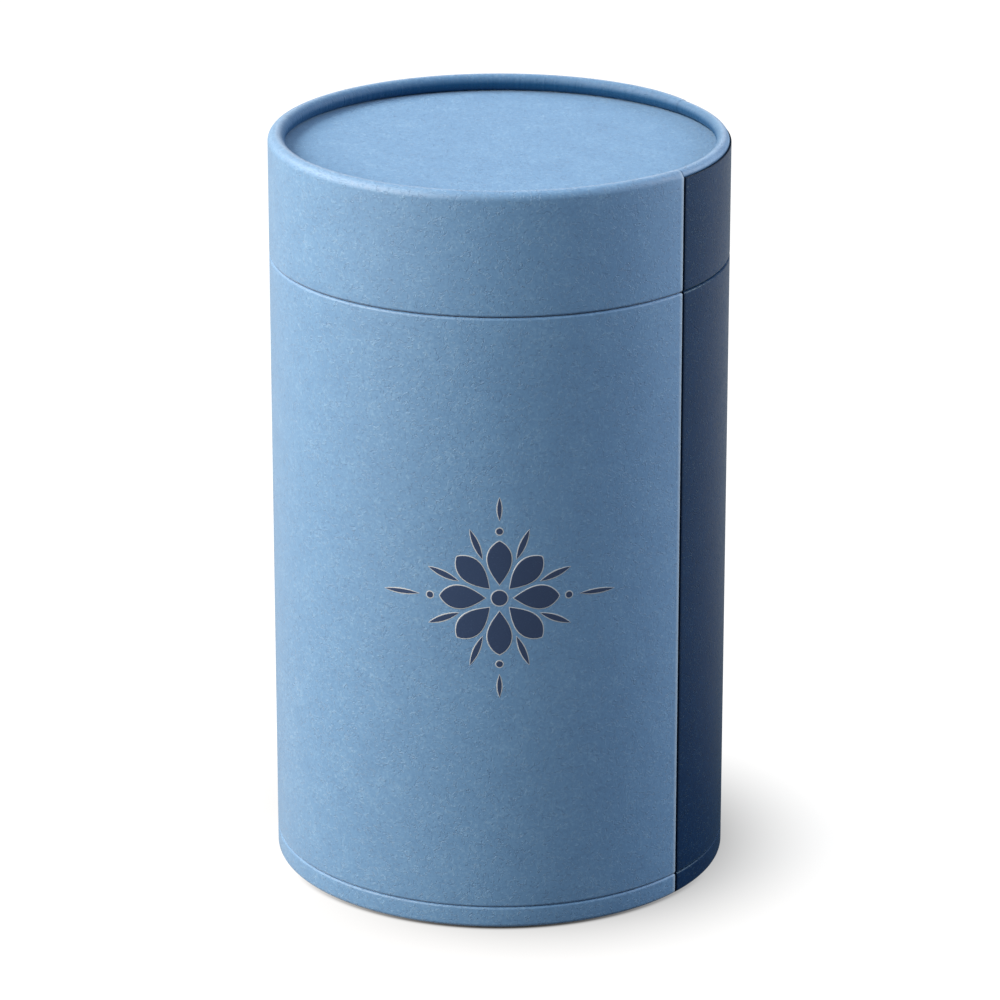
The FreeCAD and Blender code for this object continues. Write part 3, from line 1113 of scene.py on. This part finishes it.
@dataclass
class Lid(SubAssembly):
    """Lift-off lid: curled board wall, rim binding, two cover papers, recessed top and linings."""

    body: Body = Body.LID
    turn_in: float = 0.008

    def build(self) -> None:
        """Makes every paper of the lid and dresses its boards."""
        self.build_covers()
        self.build_rim_binding()
        self.build_top()
        self.lay(self.wall_lining("lid_lining", self.sizes.lid_flap_seat), Slot.LINING)
        self.dress_boards(self.finishes.rim_board, ("lid_tube",))
        self.dress_boards(self.finishes.board, ("lid_top_disc",))

    def build_covers(self) -> None:
        """Cover papers, turned in under the lower edge. The wrap goes on over the rim to the inset top."""
        sizes, cover = self.sizes, self.sizes.papers.cover
        low = sizes.seam_height + cover
        turn_in = (
            Corner(sizes.lid_flap_seat, low + self.turn_in),
            Corner(sizes.lid_flap_seat, low, sizes.board_fold),
            Corner(sizes.cover_seat, low, sizes.board_fold),
        )
        below_rim = turn_in + (Corner(sizes.cover_seat, sizes.roll_height),)
        whole = turn_in + sizes.over_rim(sizes.rim_roll - cover)
        rim_start = FoldedPath(below_rim).length
        self.lay(TurnedPaper("lid_wrap", whole, cover, sizes.outer, Seam.REBATE, rim_start), Slot.LIGHT_BLUE)
        self.lay(TurnedPaper("lid_side_panel", below_rim, cover, sizes.outer, Seam.TONGUE), Slot.NAVY)

    def build_rim_binding(self) -> None:
        """Paper ring round the rolled rim, tucked under the covers at its outer edge."""
        sizes, papers = self.sizes, self.sizes.papers
        seat = sizes.rim_roll - papers.cover - papers.glue - papers.rim
        tuck = Corner(sizes.outer - sizes.rim_roll + seat, sizes.roll_height - sizes.rim_tuck)
        corners = (tuck,) + sizes.over_rim(seat)
        binding = TurnedPaper("lid_rim_binding", corners, papers.rim, sizes.outer, rim_start=sizes.rim_tuck)
        self.lay(binding, Slot.LIGHT_BLUE)

    def build_top(self) -> None:
        """Cover sheet pressed flat on the recessed top and lining sheet under it."""
        sizes, papers = self.sizes, self.sizes.papers
        ceiling = sizes.lid_flap_seat - papers.lining - papers.edge_gap
        top = self.disc("lid_top_sheet", sizes.lid_flap_seat, True, papers.cover)
        self.lay(top, Slot.LIGHT_BLUE, self.finishes.pressed_blue)
        self.lay(self.disc("lid_ceiling_sheet", ceiling, False, papers.lining), Slot.LINING)


@dataclass
class Box(SubAssembly):
    """Body of the box: two cover papers on the outer wall, and the inner tube with its neck and linings."""

    lip_fold: float = 0.0004
    lip_turn_in: float = 0.009

    def build(self) -> None:
        """Makes every paper of the body and dresses its boards."""
        sizes, papers = self.sizes, self.sizes.papers
        self.build_covers()
        self.build_neck()
        self.lay(self.wall_lining("inner_lining", sizes.lining_seat), Slot.LINING)
        self.lay(self.disc("floor_sheet", sizes.cavity - papers.edge_gap, True, papers.lining), Slot.LINING)
        self.dress_boards(self.finishes.board, ("body_tube", "inner_tube"))

    def build_covers(self) -> None:
        """Cover papers, turned in over both ends of the wall as far as the neck."""
        sizes, cover = self.sizes, self.sizes.papers.cover
        inner = sizes.neck_outer + sizes.papers.edge_gap
        low, high = sizes.body_low + cover, sizes.body_top - cover
        corners = (
            Corner(inner, low),
            Corner(sizes.cover_seat, low, sizes.board_fold),
            Corner(sizes.cover_seat, high, sizes.board_fold),
            Corner(inner, high),
        )
        self.lay(TurnedPaper("body_wrap", corners, cover, sizes.outer, Seam.REBATE), Slot.LIGHT_BLUE)
        self.lay(TurnedPaper("body_side_panel", corners, cover, sizes.outer, Seam.TONGUE), Slot.NAVY)

    def build_neck(self) -> None:
        """Paper on the outside of the inner tube, turned over the neck's lip."""
        sizes, lining = self.sizes, self.sizes.papers.lining
        crest = sizes.neck_top - lining
        corners = (
            Corner(sizes.neck_facing_seat, foot_of("neck_facing")),
            Corner(sizes.neck_facing_seat, crest, self.lip_fold),
            Corner(sizes.lining_seat, crest, self.lip_fold),
            Corner(sizes.lining_seat, crest - self.lip_turn_in),
        )
        self.lay(TurnedPaper("neck_facing", corners, lining, sizes.neck_outer), Slot.LINING)


@dataclass
class Base(SubAssembly):
    """Base band round the foot, and the recessed floor."""

    foot_fold: float = 0.0006

    def build(self) -> None:
        """Makes the base's papers and dresses its boards."""
        sizes, papers = self.sizes, self.sizes.papers
        cover, high = papers.cover, sizes.base_height - papers.cover
        corners = (
            Corner(sizes.lining_seat, foot_of("base_disc") - papers.edge_gap),
            Corner(sizes.lining_seat, cover, sizes.board_fold),
            Corner(sizes.cover_seat, cover, self.foot_fold),
            Corner(sizes.cover_seat, high, sizes.board_fold),
            Corner(sizes.neck_facing_seat - papers.glue + papers.edge_gap, high),
        )
        under = sizes.lining_seat - cover - papers.edge_gap
        self.lay(TurnedPaper("base_band", corners, cover, sizes.outer, Seam.REBATE), Slot.LIGHT_BLUE)
        self.lay(TurnedPaper("base_side_panel", corners, cover, sizes.outer, Seam.TONGUE), Slot.NAVY)
        self.lay(self.disc("base_sheet", under, False, cover), Slot.LIGHT_BLUE)
        self.dress_boards(self.finishes.board, ("base_ring", "base_disc"))


@dataclass(frozen=True)
class Leaf:
    """One leaf of the front's ornament, laid out flat before it is wrapped round the tube."""

    root: float
    length: float
    half_width: float
    power: float = 1.0
    skew: float = 1.0

    def grown(self, rim: float) -> "Leaf":
        """The leaf with a rim all round it."""
        length, half_width = self.length + 2.0 * rim, self.half_width + rim
        return replace(self, root=self.root - rim, length=length, half_width=half_width)

    def spread(self, turn: float, along: Array, across: Array) -> Array:
        """Flat places of the leaf.

        With s the share of the length, raised to the skew, the half width is the widest one times a power of
        4 s (1 - s): a half gives an ellipse, and one gives a pointed leaf.

        Args:
            turn: Angle of the leaf from upright, clockwise.
            along: Shares of the length, from root to tip.
            across: Shares of the half width, from left to right.

        Returns:
            Distances to the right of and above the ornament's middle, for each share along and across.
        """
        share = along[:, None] ** self.skew
        aside = self.half_width * (4.0 * share * (1.0 - share)) ** self.power * across
        far = self.root + self.length * along[:, None]
        right = far * math.sin(turn) + aside * math.cos(turn)
        up = far * math.cos(turn) - aside * math.sin(turn)
        return np.stack([right, up])


@dataclass
class FrontOrnament(SubAssembly):
    """Rosette stamped on the front in navy foil over a pale rim, with beads and rays on four sides."""

    middle_height: float = 0.0765
    petals: int = 8
    sides: int = 4
    eye: Leaf = Leaf(root=-0.0017, length=0.0034, half_width=0.0017, power=0.5)
    petal: Leaf = Leaf(root=0.0030, length=0.0098, half_width=0.0026, power=0.8, skew=1.3)
    spike: Leaf = Leaf(root=0.0095, length=0.0070, half_width=0.0006)
    bead: Leaf = Leaf(root=0.0143, length=0.0014, half_width=0.0007, power=0.5)
    upright_ray: Leaf = Leaf(root=0.0175, length=0.0050, half_width=0.00045)
    side_ray: Leaf = Leaf(root=0.0175, length=0.0080, half_width=0.00045)
    rim: float = 0.00022
    rim_seat: float = 0.000005
    foil_seat: float = 0.00002
    foil_thickness: float = 0.00001
    edge_share: float = 0.04
    rows: int = 33
    columns: int = 9

    def build(self) -> None:
        """Stamps the pale rim, and the navy foil on it."""
        self.stamp("front_ornament_rim", self.rim, self.rim_seat, self.finishes.foil_edge)
        self.stamp("front_ornament_foil", 0.0, self.foil_seat, self.finishes.foil)

    def placed(self) -> list[tuple[Leaf, float]]:
        """Lays out the ornament.

        Returns:
            Every leaf with its turn: the eye, petals with spikes between them, and beads and rays in pairs.
        """
        step, quarter = FULL_TURN / self.petals, FULL_TURN / self.sides
        leaves = [(self.eye, 0.0)]
        for index in range(self.petals):
            leaves += [(self.petal, index * step), (self.spike, (index + 0.5) * step)]
        for side in range(self.sides):
            ray = self.side_ray if side % 2 else self.upright_ray
            leaves += [(self.bead, side * quarter), (ray, side * quarter)]
        return leaves

    def stamp(self, name: str, rim: float, seat: float, finish: NodeSheet) -> None:
        """Makes one layer of foil, wrapped round the front.

        Args:
            name: Name of the layer.
            rim: How far each leaf is grown.
            seat: Distance of the layer from the paper.
            finish: The layer's finish.
        """
        along = (1.0 - np.cos(np.linspace(0.0, math.pi, self.rows))) / 2.0
        inside = 1.0 - self.edge_share
        across = np.concatenate([[-1.0], np.linspace(-inside, inside, self.columns), [1.0]])
        flat = np.stack([leaf.grown(rim).spread(turn, along, across) for leaf, turn in self.placed()])
        angle, height = flat[:, 0] / self.sizes.outer, self.middle_height + flat[:, 1]
        ends = rounded_rise(np.minimum(along, 1.0 - along), self.edge_share)[:, None]
        rise = self.foil_thickness * ends * rounded_rise(1.0 - np.abs(across), self.edge_share)
        low = self.sizes.outer + seat
        made = closed_sheet(name, around(low + rise, angle, height), around(low, angle, height))
        self.set_on_body(name, made, Slot.NAVY, finish)


def aim(name: str, data: bpy.types.ID, target: Vector, away: Vector, distance: float) -> bpy.types.Object:
    """Puts a lamp or a camera in the scene.

    Args:
        name: Name of its object.
        data: The lamp or camera.
        target: The point that it looks at.
        away: Unit vector from the target towards it.
        distance: How far it is from the target.

    Returns:
        Its object.
    """
    made = bpy.data.objects.new(name, data)
    made.location = target + away * distance
    made.rotation_euler = away.to_track_quat("Z", "Y").to_euler()
    bpy.context.scene.collection.objects.link(made)
    return made


@dataclass(frozen=True)
class Softbox:
    """A square lamp that looks at the middle of the box."""

    name: str
    azimuth: float
    elevation: float
    distance: float
    size: float
    power: float
    tint: tuple[float, float, float] = WHITE[:3]

    def hang(self, middle: Vector) -> None:
        """Puts the lamp in the scene.

        Args:
            middle: The point that the lamp looks at.
        """
        turn, tilt = math.radians(self.azimuth), math.radians(self.elevation)
        away = Vector((math.sin(turn) * math.cos(tilt), -math.cos(turn) * math.cos(tilt), math.sin(tilt)))
        data = bpy.data.lights.new(self.name, "AREA")
        data.energy = self.power
        data.color = self.tint
        data.size = self.size
        aim(self.name, data, middle, away, self.distance)


@dataclass(frozen=True)
class Studio:
    """Pale floor, even surroundings, softboxes and the camera."""

    middle_height: float
    foot_radius: float
    floor_reach: float = 3.0
    floor_colour: Colour = (0.06, 0.06, 0.06, 1.0)
    # painted shadow in the floor's glow seen by the camera: a wide one on the lee side and a narrow one at the
    # foot's front
    shade_reach: float = 0.037
    shade_depth: float = 0.52
    shade_azimuth: float = 105.0
    contact_reach: float = 0.0014
    contact_depth: float = 0.98
    contact_spread: float = 66.0
    surround: float = 0.54
    surround_colour: Colour = (0.92, 0.995, 1.08, 1.0)
    backdrop_colour: Colour = WHITE
    mirrored: float = 0.1
    floor_mirrored: float = 0.54
    # painted shadow in the floor's mirrored light near the foot
    mirror_reach: float = 0.45
    mirror_depth: float = 1.0
    pitch: float = 19.44
    distance: float = 1.1
    lens: float = 179.15
    aim_right: float = 0.0001
    aim_down: float = 0.00173
    lamps: tuple[Softbox, ...] = (
        Softbox("key", azimuth=-66.0, elevation=30.0, distance=1.3, size=0.8, power=28.0, tint=WARM),
        Softbox("left_edge", azimuth=-112.0, elevation=40.0, distance=1.3, size=0.7, power=15.6, tint=WARM),
        Softbox("side_fill", azimuth=100.0, elevation=25.0, distance=0.6, size=0.3, power=2.4),
    )

    def build(self) -> None:
        """Makes the floor, the surroundings, the lamps and the camera."""
        middle = Vector((0.0, 0.0, self.middle_height))
        self.lay_floor()
        self.set_surroundings()
        for lamp in self.lamps:
            lamp.hang(middle)
        self.set_camera(middle)

    def lay_floor(self) -> None:
        """Floor that keeps the lamps' shadow, with a white glow for the eye that dims towards the box's foot
        as painted shadow.
        """
        reach = self.floor_reach
        mesh = bpy.data.meshes.new("floor")
        spots = [(-reach, -reach, 0.0), (reach, -reach, 0.0), (reach, reach, 0.0), (-reach, reach, 0.0)]
        mesh.from_pydata(spots, [], [(0, 1, 2, 3)])
        floor = bpy.data.objects.new("floor", mesh)
        bpy.context.scene.collection.objects.link(floor)
        nodes = NodeSheet.new("pale_floor")
        nodes.surface({"Base Color": self.floor_colour, "Roughness": 1.0, "Specular IOR Level": 0.0})
        nodes.surface({"Emission Color": WHITE, "Emission Strength": self.floor_glow(nodes)})
        nodes.dress(floor)

    def floor_glow(self, nodes: NodeSheet) -> Socket:
        """Light of the floor: 1 on rays from the camera, less on mirrored ones, and 0 on light that bounces.

        The camera sees a wide painted shadow, with the cosine of half the angle from the side where it is
        deepest as its share, and a narrow painted shadow that fades from the foot's front to both sides.
        Mirrored rays see a painted shadow of full depth and long reach.

        Args:
            nodes: The floor's material.

        Returns:
            Values from 0 to 1.
        """
        from_axis = nodes.vector("LENGTH", nodes.place()).outputs["Value"]
        gap = nodes.sums("SUBTRACT", from_axis, self.foot_radius)
        to_shade, to_front = self.facing(nodes, self.shade_azimuth), self.facing(nodes, 0.0)
        lee = nodes.sums("SQRT", nodes.ramp(to_shade, Ramp(-1.0, 1.0, law=Law.STRAIGHT)))
        widest = math.cos(math.radians(self.contact_spread))
        front = nodes.ramp(to_front, Ramp(widest, 1.0, law=Law.STRAIGHT))
        wide = self.past_shade(nodes, gap, lee, self.shade_reach, self.shade_depth)
        contact = self.past_shade(nodes, gap, front, self.contact_reach, self.contact_depth)
        mirrored = self.past_shade(nodes, gap, lee, self.mirror_reach, self.mirror_depth)
        rays = nodes.add("LightPath", {}).outputs
        seen = nodes.sums("MULTIPLY", rays["Is Camera Ray"], nodes.sums("MULTIPLY", wide, contact))
        glossy = nodes.sums("MULTIPLY", rays["Is Glossy Ray"], self.floor_mirrored)
        return nodes.sums("MAXIMUM", seen, nodes.sums("MULTIPLY", glossy, mirrored))

    @staticmethod
    def facing(nodes: NodeSheet, azimuth: float) -> Socket:
        """Cosine of the angle round the box between a place and a side.

        Args:
            nodes: The floor's material.
            azimuth: The side, in degrees from the front towards +X.

        Returns:
            Values from -1 to 1.
        """
        turn = math.radians(azimuth)
        towards = (math.sin(turn), -math.cos(turn), 0.0)
        outward = nodes.vector("NORMALIZE", nodes.place()).outputs[0]
        return nodes.vector("DOT_PRODUCT", outward, towards).outputs["Value"]

    @staticmethod
    def past_shade(nodes: NodeSheet, gap: Socket, share: Socket, reach: float, depth: float) -> Socket:
        """Light left by one shade, which takes off depth times share times the square of (1 - gap / reach).

        Args:
            nodes: The floor's material.
            gap: Distance from the foot's edge.
            share: How much of the shade lies on this side of the box.
            reach: Distance at which the shade ends.
            depth: What the shade takes off at the foot's edge.

        Returns:
            Values from 0 to 1.
        """
        near = nodes.ramp(gap, Ramp(0.0, reach, 1.0, 0.0, Law.STRAIGHT))
        shade = nodes.sums("MULTIPLY", nodes.sums("MULTIPLY", near, near), share)
        return nodes.sums("SUBTRACT", 1.0, nodes.sums("MULTIPLY", shade, depth))

    def set_surroundings(self) -> None:
        """White where the camera sees it, an even, slightly cool light elsewhere, and dim where mirrored."""
        world = bpy.data.worlds.new("surroundings")
        world.use_nodes = True
        bpy.context.scene.world = world
        nodes = NodeSheet(world)
        rays = nodes.add("LightPath", {}).outputs
        colour = nodes.tint(rays["Is Camera Ray"], self.surround_colour, self.backdrop_colour)
        unseen = Ramp(0.0, 1.0, self.surround, self.mirrored, Law.STRAIGHT)
        seen = Ramp(0.0, 1.0, nodes.ramp(rays["Is Glossy Ray"], unseen), 1.0, Law.STRAIGHT)
        strength = nodes.ramp(rays["Is Camera Ray"], seen)
        nodes.fill(world.node_tree.nodes["Background"], {"Color": colour, "Strength": strength})

    def set_camera(self, middle: Vector) -> None:
        """Camera at the photograph's pitch and framing.

        Args:
            middle: The middle of the box.
        """
        tilt = math.radians(self.pitch)
        away = Vector((0.0, -math.cos(tilt), math.sin(tilt)))
        up = Vector((0.0, math.sin(tilt), math.cos(tilt)))
        target = middle + Vector((self.aim_right, 0.0, 0.0)) - up * self.aim_down
        data = bpy.data.cameras.new("camera")
        data.lens = self.lens
        bpy.context.scene.camera = aim("camera", data, target, away, self.distance)


def write_sizes() -> None:
    """Updates the view layer."""
    bpy.context.view_layer.update()


def main() -> None:
    """Builds the box and its studio."""
    logging.basicConfig(level=logging.INFO, format="%(name)s: %(message)s")
    bpy.context.scene.view_settings.view_transform = "Standard"
    sizes = TubeSizes()
    finishes = Finishes.mixed()
    for kind in (Lid, Box, Base, FrontOrnament):
        kind(sizes, finishes).build()
    Studio(sizes.total_height / 2.0, sizes.outer).build()
    write_sizes()


if __name__ == "__main__":
    main()
